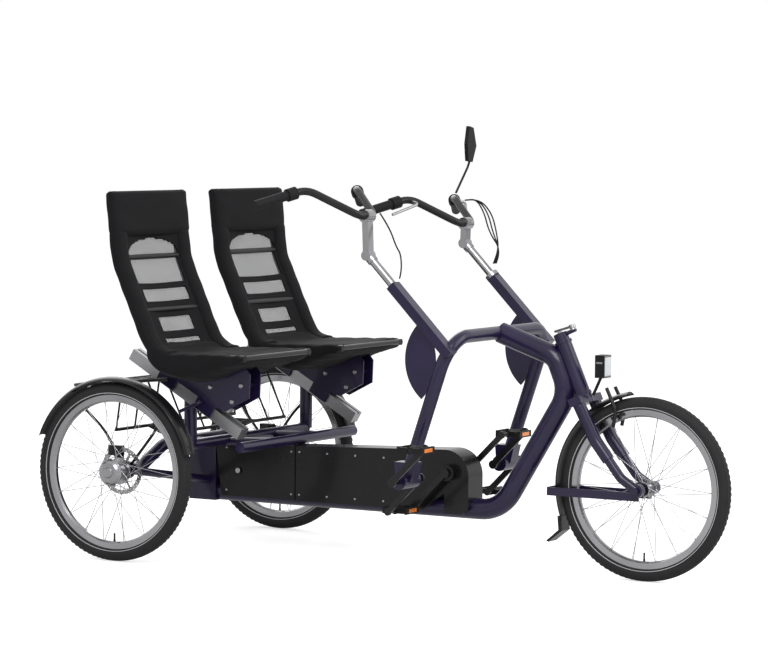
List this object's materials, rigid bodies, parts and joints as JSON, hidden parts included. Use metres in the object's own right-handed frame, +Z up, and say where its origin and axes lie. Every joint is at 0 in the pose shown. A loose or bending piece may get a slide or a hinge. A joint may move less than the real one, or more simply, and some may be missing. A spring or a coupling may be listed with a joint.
{
  "type": "side-by-side two-seat tricycle",
  "caption": "Side-by-side two-seat pedal tricycle with sloping seat rails, sling seats, a steered front wheel, mudguards and a rear rack.",
  "frame": {"origin": "on the ground, midway along the overall length and between the rear wheels", "axes": "+X forward, +Y to the riders' left, +Z up"},
  "size_m": [2.3067, 1.3946, 1.466],
  "materials": {
    "tyre_rubber": "matt",
    "polished_metal": "polished",
    "anodised_rail": "satin",
    "black_fabric": "woven",
    "painted_frame": "gloss",
    "black_rubber": "matt",
    "steel": "satin",
    "black_plastic": "satin",
    "gloss_black": "gloss",
    "black_metal": "satin"
  },
  "bodies": {
    "frame": {"arch": "painted_frame", "battery_box": "gloss_black", "brake_calipers": "black_metal", "chain_case": "gloss_black", "left_column": "painted_frame", "left_rail": "anodised_rail", "left_rear_guard": "gloss_black", "main_tube": "painted_frame", "rear_frame": "painted_frame", "rear_rack": "black_metal", "right_cable": "black_rubber", "right_column": "painted_frame", "right_grips": "black_rubber", "right_handlebar": "black_metal", "right_rail": "anodised_rail", "right_rear_guard": "gloss_black", "right_stem": "polished_metal"},
    "fork": {"fork": "painted_frame", "front_guard": "gloss_black", "headlight": "black_plastic", "front_brake": "black_metal"},
    "front_wheel": {"front_wheel": "polished_metal", "front_tyre": "tyre_rubber"},
    "right_rear_wheel": {"right_rear_wheel": "polished_metal", "right_rear_tyre": "tyre_rubber"},
    "right_seat": {"right_seat_frame": "black_metal", "right_seat_cover": "black_fabric", "right_seat_carriage": "painted_frame"},
    "left_rear_wheel": {"left_rear_wheel": "polished_metal", "left_rear_tyre": "tyre_rubber"},
    "left_seat": {"left_seat_frame": "black_metal", "left_seat_cover": "black_fabric", "left_seat_carriage": "painted_frame"},
    "crankshaft": {"right_cranks": "black_metal", "left_cranks": "black_metal"},
    "left_rider_left_pedal": {"left_rider_left_pedal": "black_plastic"},
    "left_rider_right_pedal": {"left_rider_right_pedal": "black_plastic"},
    "right_rider_left_pedal": {"right_rider_left_pedal": "black_plastic"},
    "right_rider_right_pedal": {"right_rider_right_pedal": "black_plastic"},
    "left_bars": {"left_handlebar": "black_metal", "left_grips": "black_rubber", "left_stem": "polished_metal", "brake_levers": "steel", "mirror": "black_plastic", "left_cables": "black_rubber"},
    "tie_rod": {"tie_rod": "steel"}
  },
  "joints": [
    {"name": "steering", "type": "hinge", "parent": "frame", "child": "fork", "pos_m": [0.55035, 0, 0.768], "axis": [-0.4067, 0, 0.9135], "range_deg": [-30, 30]},
    {"name": "front_wheel_spin", "type": "hinge", "parent": "fork", "child": "front_wheel", "pos_m": [0.85335, 0, 0.3], "axis": [0, 1, 0], "continuous": true},
    {"name": "right_rear_wheel_spin", "type": "hinge", "parent": "frame", "child": "right_rear_wheel", "pos_m": [-0.85265, -0.533, 0.3], "axis": [0, 1, 0], "continuous": true},
    {"name": "right_seat_slide", "type": "slide", "parent": "frame", "child": "right_seat", "axis": [0.866, 0, -0.5], "range_m": [-0.1, 0.03]},
    {"name": "left_rear_wheel_spin", "type": "hinge", "parent": "frame", "child": "left_rear_wheel", "pos_m": [-0.85265, 0.533, 0.3], "axis": [0, 1, 0], "continuous": true},
    {"name": "left_seat_slide", "type": "slide", "parent": "frame", "child": "left_seat", "axis": [0.866, 0, -0.5], "range_m": [-0.1, 0.03]},
    {"name": "crank_spin", "type": "hinge", "parent": "frame", "child": "crankshaft", "pos_m": [0.16335, 0, 0.317], "axis": [0, 1, 0], "continuous": true},
    {"name": "right_rider_right_pedal_spin", "type": "hinge", "parent": "crankshaft", "child": "right_rider_right_pedal", "pos_m": [0.28356, 0, 0.43721], "axis": [0, 1, 0], "continuous": true},
    {"name": "right_rider_left_pedal_spin", "type": "hinge", "parent": "crankshaft", "child": "right_rider_left_pedal", "pos_m": [0.04314, 0, 0.19679], "axis": [0, 1, 0], "continuous": true},
    {"name": "left_rider_right_pedal_spin", "type": "hinge", "parent": "crankshaft", "child": "left_rider_right_pedal", "pos_m": [0.28356, 0, 0.43721], "axis": [0, 1, 0], "continuous": true},
    {"name": "left_rider_left_pedal_spin", "type": "hinge", "parent": "crankshaft", "child": "left_rider_left_pedal", "pos_m": [0.04314, 0, 0.19679], "axis": [0, 1, 0], "continuous": true},
    {"name": "left_bar_turn", "type": "hinge", "parent": "frame", "child": "left_bars", "pos_m": [0.10735, 0.352, 0.95], "axis": [-0.7009, 0, 0.7133], "range_deg": [-30, 30]},
    {"name": "tie_rod_turn", "type": "hinge", "parent": "fork", "child": "tie_rod", "pos_m": [0.58858, 0, 0.80505], "axis": [-0.4067, 0, 0.9135], "range_deg": [-30, 30]}
  ],
  "couplings": [
    {"joint": "left_bar_turn", "follows": "steering", "ratio": 1},
    {"joint": "tie_rod_turn", "follows": "steering", "ratio": -1}
  ]
}
